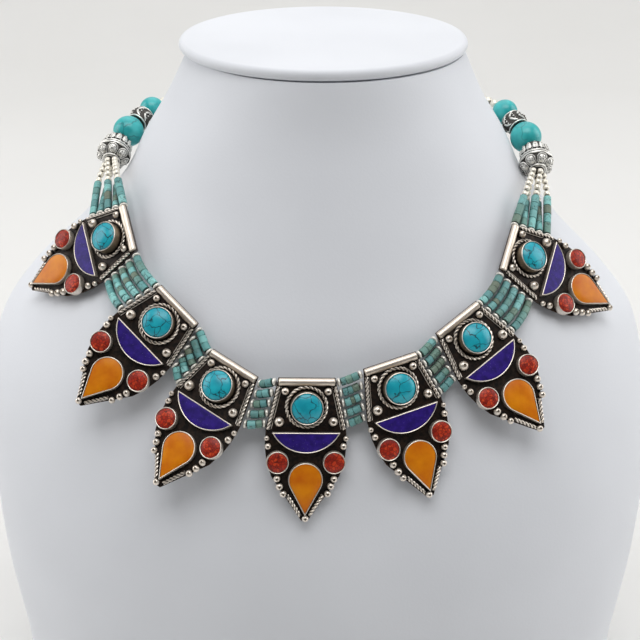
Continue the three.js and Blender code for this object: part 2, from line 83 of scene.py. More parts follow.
# Height, half width, middle x, front y, widest y, back y and outline power of the bust's levels.
BUST_COLUMNS = ("height", "half_width", "middle", "front", "widest", "back", "power")
BUST_SECTIONS = [
    (0, 113.5, -0.5, -86, -10, 72, 2.2),
    (3, 116.5, -0.5, -88.5, -10, 75, 2.2),
    (30, 119, 0, -91, -9, 79, 2.2),
    (62, 123.5, 0, -92, -8, 83, 2.1),
    (92, 126, 0, -87.5, -5, 87, 2),
    (118, 126, -0.5, -78, 0, 90, 1.95),
    (136, 123.5, -1, -69.5, 4, 91, 1.9),
    (152, 118.2, -0.7, -62, 8, 91, 1.8),
    (166, 107, -0.8, -54.5, 13, 90.5, 1.8),
    (180, 91.5, -0.1, -46, 19, 90, 1.8),
    (196, 76, 1.5, -37, 25, 89, 1.9),
    (212, 67.3, 1.8, -29, 30, 88.5, 1.95),
    (226, 58.5, 1.8, -23, 33, 88, 2),
    (241.8, 50.8, 2.2, -18.5, 34.5, 87, 2),
]

DISC_RADIUS = 53
DISC_THICKNESS = 4

PLATE_THICKNESS = 2.8
PLATE_SLOPE = 1.2  # how far the box's sides draw in towards its back
# Right half of the plate's outline, from its top corner to its point.
PLATE_OUTLINE = [(9.25, 9.6), (13.15, -7.4), (13.4, -13), (12.8, -18), (11.2, -23), (1.1, -37.8)]
# How each plate turns about the vertical, leans back and swings in its own plane, in degrees.
PLATE_TURNS = [(-38, 34.8, -47.4), (-6.6, 33.9, -42), (-15.3, 38.6, -23.4), (4.6, 20.3, -2.7),
               (12.9, 23.8, 12.1), (15.4, 35.6, 29.6), (34.1, 36.4, 48)]

CABOCHON_RADIUS = 5.5
CABOCHON_BEZEL = 4
CORAL = {"radius": 3.7, "x": 9.25, "y": -18, "bezel": 2.6}
HALF_MOON = {"half_length": 11.1, "depth": 6.8, "y": -8.2, "bezel": 2}
DROP = {"radius": 5.65, "y": -23.8, "tip": -35.8, "bezel": 2.2}

STRAND_COUNT = 5
STRAND_PITCH = 3.4
STRAND_TOP_Y = 7.9
TUBE_RADIUS = 1.45
SILVER_RADIUS = 1.05
EXIT_ROOM = 0.4  # from a plate's side to where an end strand starts to bend
LINK_PULLS = (0.3, 0.3)  # how far a strand keeps its direction at its two ends, as shares
# Where the end strands turn from turquoise tubes to silver beads.
GATHER = {
    "share": 0.5, "slant": 0.05, "pitch": 2.4, "shift": 1, "behind": 0.9, "stagger": 1.6, "lift": 0.6,
}
MOUTH_ROOM = 1.2  # from a strand's last bead to the cap bead's mouth
# Where each strand's last bead lies: along the row of strands, and out from the chest.
MOUTH_PLACES = [(1.95, 0.6), (1.2, -1.65), (0, 2), (-1.2, -1.65), (-1.95, 0.6)]

CAP_LENGTH = 10.6
ROUND_RADIUS = 6
BACK_ROUND_RADIUS = 5
BEAD_GAP = 0.5
RONDELLE_LENGTH = 4.6
CLASP_LENGTH = 13
SMALL_BEAD_PITCH = 3.6

# Angle from +X round to the back, height and distance off the bust of the single strings.
NECK_FRONTS = {
    "left": [(-3.2, 198.7, 6.8), (0.8, 200.7, 7.6), (8.3, 206.3, 6.6),
             (14.6, 209, 5.2), (20.4, 211.4, 5.5), (27.5, 213.4, 4.3)],
    "right": [(-9.3, 197.6, 6.2), (-5.6, 199.9, 7.2), (2, 206, 6.8),
              (7.9, 209.3, 5.2), (13.2, 212.2, 5.5), (20, 213.8, 4.3)],
}
NECK_BACK = [(38, 215.5, 3.2), (60, 218, 3), (90, 219.5, 3.3)]
SIDES = [("left", -1), ("right", 1)]


# ----- points and curves -----

def unit(vector):
    return vector / np.linalg.norm(vector, axis=-1, keepdims=True)


def lengths_along(path):
    """How far along the path each of its points is."""
    steps = np.linalg.norm(np.diff(path, axis=0), axis=1)
    return np.concatenate([[0], np.cumsum(steps)])


def at_distance(path, distance):
    """The point of a path at a distance along it, and the path's direction there."""
    along = lengths_along(path)
    index = min(max(int(np.searchsorted(along, distance)) - 1, 0), len(path) - 2)
    step = path[index + 1] - path[index]
    share = (distance - along[index]) / (along[index + 1] - along[index])
    return path[index] + share * step, unit(step)


def resampled(path, count):
    along = lengths_along(path)
    wanted = np.linspace(0, along[-1], count)
    return np.column_stack([np.interp(wanted, along, path[:, axis]) for axis in range(3)])


def frames_along(path, up, closed=False):
    """The direction of a path at each point, with the across and the up that go with it."""
    if closed:
        ways = unit(np.roll(path, -1, axis=0) - np.roll(path, 1, axis=0))
    else:
        ways = unit(np.gradient(path, axis=0))
    across = unit(np.cross(up, ways))
    return ways, across, np.cross(ways, across)


def catmull(points, steps=60):
    """A centripetal Catmull-Rom curve through points."""
    points = np.asarray(points, float)
    ends = [2 * points[0] - points[1]], [2 * points[-1] - points[-2]]
    knots = np.concatenate([ends[0], points, ends[1]])
    curve = []
    for i in range(1, len(knots) - 2):
        a, b, c, d = knots[i - 1:i + 3]
        before, step, after = (np.linalg.norm(q - p) ** 0.5 for p, q in ((a, b), (b, c), (c, d)))
        leave = ((b - a) / before - (c - a) / (before + step) + (c - b) / step) * step
        arrive = ((c - b) / step - (d - b) / (step + after) + (d - c) / after) * step
        for t in np.arange(steps) / steps:
            curve.append(b + leave * t + (3 * (c - b) - 2 * leave - arrive) * t ** 2
                         + (2 * (b - c) + leave + arrive) * t ** 3)
    return np.array([*curve, points[-1]])


def bridge(a, a_way, b, b_way, pulls, count):
    """A smooth curve from a to b that leaves along a_way and arrives along b_way."""
    leave, arrive = np.linalg.norm(b - a) * np.array(pulls)
    t = np.linspace(0, 1, count)[:, None]
    return ((1 - t) ** 3 * a + 3 * (1 - t) ** 2 * t * (a + leave * a_way)
            + 3 * (1 - t) * t ** 2 * (b - arrive * b_way) + t ** 3 * b)


# ----- meshes -----

class Shape:
    """Faces gathered for one piece. Each face has a paint, and each point a tint from 0 to 1."""

    def __init__(self):
        self.points = []
        self.faces = []
        self.paints = []
        self.tints = []
        self.count = 0

    def cover(self, place, rings, closed=False, paint=0, tint=0.5):
        """Adds a skin over rings of points given in a place."""
        points, faces = skin(rings, closed)
        self.add(place.out(points), faces, paint, tint)

    def add(self, points, faces, paint=0, tint=0.5):
        self.points.append(np.asarray(points, float).reshape(-1, 3))
        self.faces.extend(tuple(index + self.count for index in face) for face in faces)
        self.paints.extend([paint] * len(faces) if isinstance(paint, int) else paint)
        self.tints.append(np.full(len(self.points[-1]), tint))
        self.count += len(self.points[-1])


class Place:
    """A local frame: points given in it are turned and moved into the part's frame."""

    def __init__(self, origin, axes):
        self.origin = np.asarray(origin, float)
        self.axes = np.asarray(axes, float)  # its columns are the local x, y and z

    def out(self, points):
        return np.asarray(points) @ self.axes.T + self.origin


def place_on(origin, way):
    """A place whose z axis runs along way."""
    way = unit(np.asarray(way, float))
    side = unit(np.cross(UP, way))
    return Place(origin, np.column_stack([side, np.cross(way, side), way]))


def skin(rings, closed=False):
    """Points and faces over rings of points: a tube shut at both ends, or one that meets itself."""
    rings = np.asarray(rings)
    count, sides = rings.shape[:2]
    faces = []
    for ring in range(count if closed else count - 1):
        low = ring * sides
        high = (ring + 1) % count * sides
        for side in range(sides):
            after = (side + 1) % sides
            faces.append((low + side, low + after, high + after, high + side))
    if not closed:
        faces.append(tuple(range(sides - 1, -1, -1)))
        faces.append(tuple(range((count - 1) * sides, count * sides)))
    return rings.reshape(-1, 3), faces


def turned(profile, sides):
    """Rings round the Z axis, one for each (radius, z) of the profile."""
    angles = np.arange(sides) * 2 * pi / sides
    circle = np.column_stack([np.cos(angles), np.sin(angles), np.zeros(sides)])
    return np.array([circle * radius + (0, 0, z) for radius, z in profile])


def tube(path, radius, sides, closed=False, up=UP):
    """Rings of a round wire along a path. radius is one number or one for each point."""
    _, across, over = frames_along(path, up, closed)
    radii = np.broadcast_to(radius, len(path))
    angles = np.arange(sides) * 2 * pi / sides
    return np.array([
        point + r * (np.outer(np.cos(angles), a) + np.outer(np.sin(angles), o))
        for point, r, a, o in zip(path, radii, across, over)
    ])


def add_rope(shape, place, path, wire, pitch, closed=False):
    """Two wires of one radius, twisted round each other along a path."""
    twists = max(2, round(lengths_along(path)[-1] / pitch))
    stations = 9 * twists
    if closed:
        path = resampled(np.vstack([path, path[:1]]), stations + 1)[:-1]
    else:
        path = resampled(path, stations + 1)
    _, across, over = frames_along(path, UP, closed)
    turns = twists * 2 * pi * np.arange(len(path)) / stations
    apart = 0.95  # as a share of the wire's radius
    for start in (0, pi):
        turn = (turns + start)[:, None]
        line = path + wire * apart * (np.cos(turn) * across + np.sin(turn) * over)
        shape.cover(place, tube(line, wire, 7, closed), closed)


def ball_profile(radius, length, steps, start=12):
    """A ball or a flattened ball about Z, from one pole's small flat to the other's."""
    angles = np.radians(np.linspace(start, 180 - start, steps))
    return [(radius * sin(a), -length / 2 * cos(a)) for a in angles]


def make_piece(name, shape, paints, slot, *nodes, sharp=38):
    """One mesh object in the part's frame that rides with the CAD and stands for its nodes."""
    mesh = bpy.data.meshes.new(name)
    mesh.from_pydata((np.concatenate(shape.points) * MM).tolist(), [], shape.faces)
    mesh.polygons.foreach_set("material_index", shape.paints)
    tint = mesh.attributes.new("tint", "FLOAT", "POINT")
    tint.data.foreach_set("value", np.concatenate(shape.tints))
    for paint in paints:
        mesh.materials.append(paint.material)
    mesh.shade_smooth()
    mesh.set_sharp_from_angle(angle=radians(sharp))
    piece = add_object(name, mesh)
    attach(piece, "root")
    if nodes:
        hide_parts(*nodes)
    return piece


# ----- paints -----

def linear(colour):
    """A colour given as the eye sees it, from 0 to 255, as the shaders want it."""
    shares = [channel / 255 for channel in colour]
    return (*(((c + 0.055) / 1.055) ** 2.4 if c > 0.04 else c / 12.92 for c in shares), 1)


class Paint:
    """A procedural material being put together on one Principled shader."""

    def __init__(self, name, **sockets):
        self.material = bpy.data.materials.new(name)
        self.material.use_nodes = True
        self.tree = self.material.node_tree
        self.shader = self.tree.nodes["Principled BSDF"]
        self.where = self.node("ShaderNodeTexCoord").outputs["Object"]
        for socket, value in sockets.items():
            self.set(socket.replace("_", " "), value)

    def node(self, kind, **inputs):
        node = self.tree.nodes.new(kind)
        for socket, value in inputs.items():
            self.feed(node.inputs[socket.replace("_", " ")], value)
        return node

    def feed(self, socket, value):
        if isinstance(value, bpy.types.NodeSocket):
            self.tree.links.new(value, socket)
        else:
            socket.default_value = linear(value) if socket.type == "RGBA" else value

    def noise(self, size, detail=3):
        """Soft random patches about size millimetres across, from 0 to 1."""
        node = self.node("ShaderNodeTexNoise", Vector=self.where, Scale=1 / (size * MM), Detail=detail)
        return node.outputs["Fac"]

    def cells(self, size, feature, where=None, output="Distance"):
        node = self.node("ShaderNodeTexVoronoi", Vector=where or self.where, Scale=1 / (size * MM))
        node.feature = feature
        return node.outputs[output]

    def bent(self, size, reach):
        """The place, pushed about by up to reach millimetres, for lines that wander."""
        noise = self.node("ShaderNodeTexNoise", Vector=self.where, Scale=1 / (size * MM))
        return self.sums("MULTIPLY_ADD", noise.outputs["Color"], (reach * MM,) * 3, self.where,
                         kind="ShaderNodeVectorMath")

    def scaled(self, value, low, high, to_low=0.0, to_high=1.0):
        node = self.node("ShaderNodeMapRange", Value=value, From_Min=low, From_Max=high,
                         To_Min=to_low, To_Max=to_high)
        return node.outputs["Result"]

    def sums(self, operation, *values, kind="ShaderNodeMath"):
        node = self.tree.nodes.new(kind)
        node.operation = operation
        for socket, value in zip(node.inputs, values):
            self.feed(socket, value)
        return node.outputs[0]

    def openness(self, distance):
        """From 0 in a crease to 1 in the open."""
        node = self.node("ShaderNodeAmbientOcclusion", Distance=distance * MM)
        node.samples = 6
        return node.outputs["AO"]

    def ramp(self, value, stops):
        """A colour for each value: stops are places and colours, with the two outer ones first."""
        node = self.node("ShaderNodeValToRGB", Fac=value)
        elements = node.color_ramp.elements
        for index, (position, colour) in enumerate(stops):
            element = elements[index] if index < 2 else elements.new(position)
            element.position = position
            element.color = linear(colour)
        return node.outputs["Color"]

    def mix(self, share, a, b):
        node = self.tree.nodes.new("ShaderNodeMix")
        node.data_type = "RGBA"
        self.feed(node.inputs["Factor"], share)
        self.feed(node.inputs["A"], a)
        self.feed(node.inputs["B"], b)
        return node.outputs["Result"]

    def set(self, socket, value):
        self.feed(self.shader.inputs[socket], value)

    def bump(self, height, distance, strength):
        """Relief up to distance millimetres high."""
        node = self.node("ShaderNodeBump", Height=height, Distance=distance * MM, Strength=strength)
        self.set("Normal", node.outputs["Normal"])


def veins(paint, size, width, amount):
    """Thin dark crackle lines: 1 on a line and 0 off it. amount is how much of the net shows."""
    edge = paint.cells(size, "DISTANCE_TO_EDGE", paint.bent(size * 0.8, size * 0.9))
    line = paint.scaled(edge, width * 0.35, width, 1, 0)
    shown = paint.scaled(paint.noise(size * 1.6, 2), 0.62 - amount * 0.3, 0.66 - amount * 0.2)
    return paint.sums("MULTIPLY", line, shown)


def silver_paint(name, bright, dark, roughness, pitting=0.35, metallic=1.0, creases=(0.42, 0.85)):
    """Silver that is polished where it stands proud and darker in its creases: partly oxide patina,
    partly painted shade, also between neighbouring beads.
    """
    paint = Paint(name, Metallic=metallic)
    uneven = paint.scaled(paint.noise(0.7), 0.3, 0.7, -0.12, 0.12)
    # Ambient occlusion darkens the creases and the faces turned to neighbouring pieces: partly oxide
    # patina, partly painted shade.
    patina_and_shade = paint.sums("ADD", paint.openness(1.1), uneven)
    paint.set("Base Color", paint.ramp(patina_and_shade, zip(creases, (dark, bright))))
    paint.set("Roughness", paint.scaled(paint.noise(0.5), 0.3, 0.7, roughness - 0.06, roughness + 0.12))
    paint.bump(paint.noise(0.45, 4), 0.05, pitting)
    return paint


def ground_paint():
    """The oxidised ground between the settings, rubbed a little brown."""
    paint = Paint("oxidised_ground", Metallic=0.2, Specular_IOR_Level=0.25)
    rubbed = paint.noise(1.4, 5)
    paint.set("Base Color", paint.ramp(rubbed, [(0.4, (17, 12, 9)), (0.72, (52, 38, 29))]))
    paint.set("Roughness", paint.scaled(rubbed, 0.3, 0.7, 0.62, 0.4))
    paint.bump(paint.noise(0.5, 5), 0.12, 0.6)
    return paint


def turquoise_paint(name, light, deep, vein_size, amount, darkness):
    paint = Paint(name, Roughness=0.32, Coat_Weight=0.15, Coat_Roughness=0.12)
    cloud = paint.noise(3.5, 4)
    lines = veins(paint, vein_size, 0.03, amount)
    hue = paint.ramp(cloud, [(0.35, deep), (0.65, light)])
    paint.set("Base Color", paint.mix(paint.sums("MULTIPLY", lines, darkness), hue, (18, 52, 62)))
    paint.bump(paint.sums("SUBTRACT", paint.noise(2.2, 3), lines), 0.05, 0.3)
    return paint


def heishi_paint():
    """Small turquoise tubes, each its own shade, from clear blue-green to olive and brown matrix."""
    paint = Paint("heishi", Roughness=0.48)
    tint = paint.node("ShaderNodeAttribute")
    tint.attribute_name = "tint"
    shade = paint.ramp(tint.outputs["Fac"], [
        (0, (92, 152, 152)), (1, (112, 122, 104)), (0.25, (122, 190, 186)),
        (0.5, (146, 210, 206)), (0.7, (94, 150, 150)), (0.86, (112, 150, 136))])
    matrix = paint.scaled(paint.noise(1.5, 5), 0.55, 0.7)
    spotted = paint.mix(paint.sums("MULTIPLY", matrix, 0.5), shade, (84, 96, 82))
    lines = veins(paint, 2.8, 0.04, 0.6)
    lined = paint.mix(paint.sums("MULTIPLY", lines, 0.6), spotted, (36, 48, 46))
    # Painted shade: tubes that lie close together are darker on the sides that they turn to each other.
    painted_shade = paint.scaled(paint.openness(4), 0.3, 0.8, 0.8, 0)
    paint.set("Base Color", paint.mix(painted_shade, lined, (34, 50, 47)))
    paint.bump(paint.noise(0.6, 4), 0.06, 0.4)
    return paint


def lapis_paint():
    paint = Paint("lapis", Roughness=0.42, Specular_IOR_Level=0.25)
    cloud = paint.noise(1.8, 5)
    blue = paint.ramp(cloud, [(0.3, (31, 14, 94)), (0.7, (52, 29, 134))])
    specks = paint.scaled(paint.cells(0.9, "F1"), 0.05, 0.12, 0.5, 0)
    paint.set("Base Color", paint.mix(specks, blue, (150, 140, 190)))
    paint.bump(paint.noise(0.8, 4), 0.03, 0.3)
    return paint


def coral_paint():
    """Coral chips set close together, with dark seams between some of them."""
    paint = Paint("coral", Roughness=0.4, Specular_IOR_Level=0.35)
    bent = paint.bent(0.8, 0.5)
    chip = paint.node("ShaderNodeSeparateColor", Color=paint.cells(1.0, "F1", bent, "Color")).outputs[0]
    red = paint.ramp(chip, [(0, (138, 26, 10)), (1, (212, 72, 34)), (0.5, (182, 44, 18))])
    seam = paint.scaled(paint.cells(1.0, "DISTANCE_TO_EDGE", bent), 0.02, 0.12, 0.75, 0)
    paint.set("Base Color", paint.mix(seam, red, (66, 18, 12)))
    paint.bump(seam, 0.06, 0.3)
    return paint


def amber_paint():
    paint = Paint("amber", Roughness=0.34, Specular_IOR_Level=0.35, Subsurface_Weight=0.15,
                  Subsurface_Scale=2 * MM)
    paint.set("Subsurface Radius", (1.0, 0.5, 0.1))
    cloud = paint.noise(5, 3)
    paint.set("Base Color", paint.ramp(cloud, [(0.3, (206, 104, 0)), (0.7, (228, 138, 2))]))
    paint.bump(paint.noise(1.6, 3), 0.04, 0.3)
    return paint


def leatherette_paint():
    """White imitation leather with a fine pebbled grain."""
    paint = Paint("leatherette", Roughness=0.55, Sheen_Weight=0.1)
    grain = paint.cells(0.75, "SMOOTH_F1", paint.bent(0.6, 0.25))
    shade = paint.scaled(paint.noise(60, 2), 0.3, 0.7)
    paint.set("Base Color", paint.mix(shade, (224, 226, 231), (231, 233, 238)))
    paint.set("Roughness", paint.scaled(grain, 0.1, 0.7, 0.5, 0.64))
    paint.bump(grain, 0.06, 0.35)
    return paint


def thread_paint():
    paint = Paint("thread", Roughness=0.8)
    shades = [(0.3, (36, 32, 28)), (0.7, (78, 72, 62))]
    paint.set("Base Color", paint.ramp(paint.noise(0.4), shades))
    return paint


SILVER = silver_paint(
    "silver", (236, 226, 214), (32, 21, 16), 0.33, metallic=0.85, creases=(0.54, 0.92))
POLISHED = silver_paint("polished_silver", (226, 214, 200), (48, 34, 26), 0.4, pitting=0.02)
AGED = silver_paint("aged_silver", (150, 136, 118), (30, 20, 15), 0.4)
BOX_SIDE = silver_paint("box_side", (82, 68, 60), (20, 15, 13), 0.4)
CAP_SILVER = silver_paint(
    "cap_silver", (244, 242, 236), (30, 27, 25), 0.36, 0.5, 0.75, creases=(0.58, 0.93))
# Near-black silver for the bodies of the cap beads and rondelles, seen only in the gaps between petals
# and crescents: partly oxide, partly painted shade.
CREVICE = silver_paint("crevice", (74, 70, 66), (12, 10, 9), 0.55, metallic=0.3)
BEAD_SILVER = silver_paint(
    "bead_silver", (248, 242, 228), (62, 48, 32), 0.34, 0.1, 0.6, creases=(0.58, 0.92))
DISC_SILVER = silver_paint(
    "disc_silver", (250, 246, 236), (96, 82, 64), 0.34, 0.1, 0.5, creases=(0.25, 0.6))
GROUND = ground_paint()
CAB_TURQUOISE = turquoise_paint(
    "cabochon_turquoise", (30, 178, 194), (14, 154, 174), vein_size=5, amount=1, darkness=0.9)
ROUND_TURQUOISE = turquoise_paint(
    "round_turquoise", (62, 190, 190), (44, 170, 172), vein_size=9, amount=0.4, darkness=0.45)
HEISHI = heishi_paint()
LAPIS = lapis_paint()
CORAL_PAINT = coral_paint()
AMBER = amber_paint()
LEATHERETTE = leatherette_paint()
THREAD = thread_paint()


# ----- bust -----

def bust_section(height):
    """Every column of BUST_SECTIONS at a height, on one smooth curve through the rows."""
    rows = np.array(BUST_SECTIONS, float)
    low = 0
    while low < len(rows) - 2 and height > rows[low + 1, 0]:
        low += 1
    step = rows[low + 1, 0] - rows[low, 0]
    t = (height - rows[low, 0]) / step

    def slope(row):
        a, b = rows[max(row - 1, 0)], rows[min(row + 1, len(rows) - 1)]
        return (b - a) / (b[0] - a[0])

    values = ((1 + 2 * t) * (1 - t) ** 2 * rows[low] + t * (1 - t) ** 2 * step * slope(low)
              + t * t * (3 - 2 * t) * rows[low + 1] + t * t * (t - 1) * step * slope(low + 1))
    return dict(zip(BUST_COLUMNS, values))


def bust_point(angle, height):
    """The point of the bust's skin at an angle from +X round to the back, and at a height."""
    section = bust_section(height)
    x, y = cos(angle), sin(angle)
    bend = 2 / section["power"]
    depth = section["widest"] - section["front"] if y < 0 else section["back"] - section["widest"]
    return np.array([
        section["middle"] + section["half_width"] * copysign(abs(x) ** bend, x),
        section["widest"] + depth * copysign(abs(y) ** bend, y),
        height,
    ])


def off_bust(angle, height, off):
    step = 0.02
    around = bust_point(angle + step, height) - bust_point(angle - step, height)
    up = bust_point(angle, height + 1) - bust_point(angle, height - 1)
    return bust_point(angle, height) + off * unit(np.cross(around, up))


def build_bust():
    sides = 180
    angles = 2 * pi * np.arange(sides) / sides
    top = BUST_SECTIONS[-1][0]
    heights = [0, 0.6, 1.6, 3, *np.linspace(6, top - 1.5, 110), top - 0.6, top]
    rings = [[bust_point(angle, height) for angle in angles] for height in heights]
    shape = Shape()
    shape.add(*skin(rings))
    make_piece("bust_cover", shape, [LEATHERETTE], "leatherette", "neck_bust")


def build_disc():
    """A thin padded disc with a soft edge."""
    low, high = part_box("bust_top_disc")
    bottom = low.z / MM
    centre = ((low.x + high.x) / 2 / MM, (low.y + high.y) / 2 / MM, 0)
    profile = [(20, bottom)]
    edge = 1.9
    edge_height = 0.97 * DISC_THICKNESS  # its top is slightly crowned
    for angle in np.radians(np.linspace(-90, 90, 15)):
        profile.append((DISC_RADIUS - edge + edge * cos(angle),
                        bottom + edge_height / 2 * (1 + sin(angle))))
    profile += [(radius, bottom + DISC_THICKNESS) for radius in (46, 30, 15, 1)]
    shape = Shape()
    shape.add(*skin(turned(profile, 180) + centre))
    disc = make_piece("disc_cover", shape, [LEATHERETTE], "leatherette", "bust_top_disc")


# ----- plates -----

def plate_axes(turn, lean, swing):
    """Columns: the plate's x, its y up to the bar and its z out of the face."""
    turn, lean, swing = map(radians, (turn, lean, swing))
    flat = cos(lean)
    normal = np.array([sin(turn) * flat, -cos(turn) * flat, sin(lean)])
    across = np.array([cos(turn), sin(turn), 0])
    up = np.cross(normal, across)
    return np.column_stack([
        cos(swing) * across + sin(swing) * up,
        cos(swing) * up - sin(swing) * across,
        normal,
    ])


def plate_place(number):
    """The plate's own frame, with its origin at the cabochon's middle on the face."""
    axes = plate_axes(*PLATE_TURNS[number - 1])
    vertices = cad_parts[f"plate_{number}"].data.vertices
    corners = np.array([vertex.co for vertex in vertices]) / MM @ axes
    low, high = corners.min(0), corners.max(0)
    top = PLATE_OUTLINE[0][1]
    return Place(axes @ ((low[0] + high[0]) / 2, high[1] - top, low[2] + PLATE_THICKNESS), axes)


def arc(centre_x, centre_y, radius, start, end, steps):
    angles = np.linspace(start, end, steps + 1)
    return np.column_stack([centre_x + radius * np.cos(angles), centre_y + radius * np.sin(angles)])


def full_circle(x, y, radius, count=48):
    """count points evenly round a circle."""
    return arc(x, y, radius, 0, 2 * pi * (count - 1) / count, count - 1)


# Outlines of the settings, each drawn in by inset on every side.

def half_moon(inset):
    radius = (HALF_MOON["half_length"] ** 2 + HALF_MOON["depth"] ** 2) / (2 * HALF_MOON["depth"])
    from_chord = radius - HALF_MOON["depth"] + inset
    half = acos(from_chord / (radius - inset))
    middle_y = HALF_MOON["y"] + radius - HALF_MOON["depth"]
    return arc(0, middle_y, radius - inset, -pi / 2 - half, -pi / 2 + half, 36)


def drop(inset):
    half = asin(DROP["radius"] / (DROP["y"] - DROP["tip"]))
    radius = DROP["radius"] - inset
    round_end = arc(0, DROP["y"], radius, -half, pi + half, 40)
    return np.vstack([round_end, [(0, DROP["y"] - radius / sin(half))]])


def circle(x, y, radius):
    return lambda inset: full_circle(x, y, radius - inset)


def plate_outline(inset):
    """The plate's outline, drawn in by inset on every side."""
    corners = np.array([(-x, y) for x, y in PLATE_OUTLINE] + PLATE_OUTLINE[::-1], float)
    ways = unit(np.roll(corners, -1, axis=0) - corners)
    inward = np.column_stack([-ways[:, 1], ways[:, 0]])
    before = np.roll(inward, 1, axis=0)
    mitre = (inward + before) / (1 + (inward * before).sum(1, keepdims=True))
    return corners + inset * mitre


def level(outline, z):
    return np.column_stack([outline, np.full(len(outline), z)])


BEZEL_WALL = 0.36


def add_bezel(shape, place, outline, top, outside=0):
    """A thin upright wall round a stone, its top rubbed round. outside is its outer side's paint."""
    rings = [
        level(outline(0), 0),
        level(outline(0), top - 0.25),
        level(outline(0.06), top - 0.06),
        level(outline(BEZEL_WALL * 0.5), top),
        level(outline(BEZEL_WALL * 0.94), top - 0.08),
        level(outline(BEZEL_WALL), top - 0.3),
        level(outline(BEZEL_WALL), 0),
    ]
    points, faces = skin(place.out(rings), closed=True)
    sides = len(rings[0])
    shape.add(points, faces, [outside] * sides + [0] * (len(faces) - sides))


def add_stone(shape, place, outline, edge_top, rise, middle, flat):
    """A stone inside its bezel. It rises by rise to its middle; flat is the flat share of its top."""
    rim = outline(BEZEL_WALL + 0.02)
    rings = [level(rim, GAP), level(rim, edge_top - 0.15)]
    for share in np.linspace(0, 1, 9)[:-1]:
        scale = 1 - share
        bulge = 1 - max(0, (scale - flat) / (1 - flat)) ** 2.2
        rings.append(level(middle + (rim - middle) * (0.985 * scale + 0.01), edge_top + rise * bulge))
    shape.cover(place, rings)


PLATE_PAINTS = [SILVER, GROUND, BOX_SIDE, POLISHED, AGED]
GROUND_PAINT, SIDE_PAINT, POLISHED_PAINT, AGED_PAINT = 1, 2, 3, 4

# The radius and height of a granule of radius 1, and of the pit in its top.
BALL_ANGLES = np.radians([28, 55, 80, 100, 120, 138, 152, 160])
BALL = [(sin(angle), -cos(angle)) for angle in BALL_ANGLES]
PIT = [(0.33, 0.9), (0.27, 0.82), (0.06, 0.8)]
GRANULE_SIDES = 14
GRANULE_SEAT = 0.62  # height of its middle, as a share of its radius


def add_granule(shape, place, x, y, radius):
    """A soldered silver ball, with the small dark pit that its top has."""
    rings = turned(BALL + PIT, GRANULE_SIDES) * radius + (x, y, radius * GRANULE_SEAT)
    ball_faces = (len(BALL) - 1) * GRANULE_SIDES
    pit_faces = len(PIT) * GRANULE_SIDES
    shape.cover(place, rings, paint=[0] * ball_faces + [AGED_PAINT] * pit_faces + [0, AGED_PAINT])


def straight(start, end):
    return np.linspace(start, end, 12)


# Granules on the right half of a plate: x, y and diameter.
GRANULES = [
    (6.9, 5.3, 2.5), (8.9, -4.8, 3.2), (12.9, -10.2, 1.8), (12.3, -12.9, 2.3),
    (9.2, -23.6, 2.5), (8.3, -26.2, 2.5), (7.3, -28.7, 2.3),
]
ROPE_PITCH = 2.7
ROPE_HEIGHT = 0.4  # of its middle line over the face


def add_side_strip(shape, place, side):
    """The strip on a plate's slanting edge: a bold rope with a thin plain wire inside it."""
    edge = straight((side * 9.1, 6.6, ROPE_HEIGHT), (side * 12.4, -7.3, ROPE_HEIGHT))
    add_rope(shape, place, edge, 0.32, ROPE_PITCH)
    wire = edge - (side * 0.95, 0, 0.15)
    shape.cover(place, tube(wire, 0.19, 8))


def add_bar(shape, place):
    """The polished half-round bar along the plate's top edge."""
    half_length, half_width, height, middle_y, sunk = 9.15, 1.35, 1.3, 8.1, 0.05
    angles = np.radians(np.linspace(0, 180, 25))
    section = [(half_width * cos(a), height * sin(a)) for a in angles]
    rings = []
    inner = half_length - 0.25  # where the rounding of its ends starts
    for x, scale in ((-half_length, 0.8), (-inner, 1), (inner, 1), (half_length, 0.8)):
        rings.append([(x, middle_y + y * scale, z * scale - sunk) for y, z in section])
    shape.cover(place, rings, paint=POLISHED_PAINT)


def add_box(shape, place):
    """The flat silver box: aged sides and back, and the oxidised ground inside its edge."""
    corners = len(PLATE_OUTLINE) * 2
    levels = [(PLATE_SLOPE + 0.25, -PLATE_THICKNESS), (PLATE_SLOPE, -PLATE_THICKNESS + 0.15),
              (0.12, -0.3), (0, -0.15), (0.06, -0.04), (0.25, 0)]
    points, faces = skin(place.out([level(plate_outline(inset), z) for inset, z in levels]))
    shape.add(points, faces[:-1], SIDE_PAINT)
    face_start = (len(levels) - 1) * corners
    shape.add(points[face_start:], [tuple(range(corners))], GROUND_PAINT)


CABOCHON_OUTLINE = circle(0, 0, CABOCHON_RADIUS - 0.15)
CORAL_OUTLINES = {side: circle(side * CORAL["x"], CORAL["y"], CORAL["radius"]) for side in (-1, 1)}
# Each stone: piece, CAD node, slot, paint, outline of its setting, height of its edge, rise from
# there to its middle, its middle and the flat share of its top.
STONES = [
    ("turquoise_stone", "turquoise_cab", "turquoise", CAB_TURQUOISE, CABOCHON_OUTLINE,
     CABOCHON_BEZEL - 0.25, 1.35, (0, 0), 0.1),
    ("lapis_inlay", "lapis_half_moon", "lapis", LAPIS, half_moon,
     HALF_MOON["bezel"] - 0.12, 0.12, (0, -11), 0.7),
    *((f"coral_inlay_{name}", f"coral_{name}", "coral", CORAL_PAINT, CORAL_OUTLINES[side],
       CORAL["bezel"] - 0.2, 0.55, (side * CORAL["x"], CORAL["y"]), 0.2) for name, side in SIDES),
    ("amber_inlay", "amber_drop", "amber", AMBER, drop,
     DROP["bezel"] - 0.15, 0.4, (0, -25.5), 0.4),
]


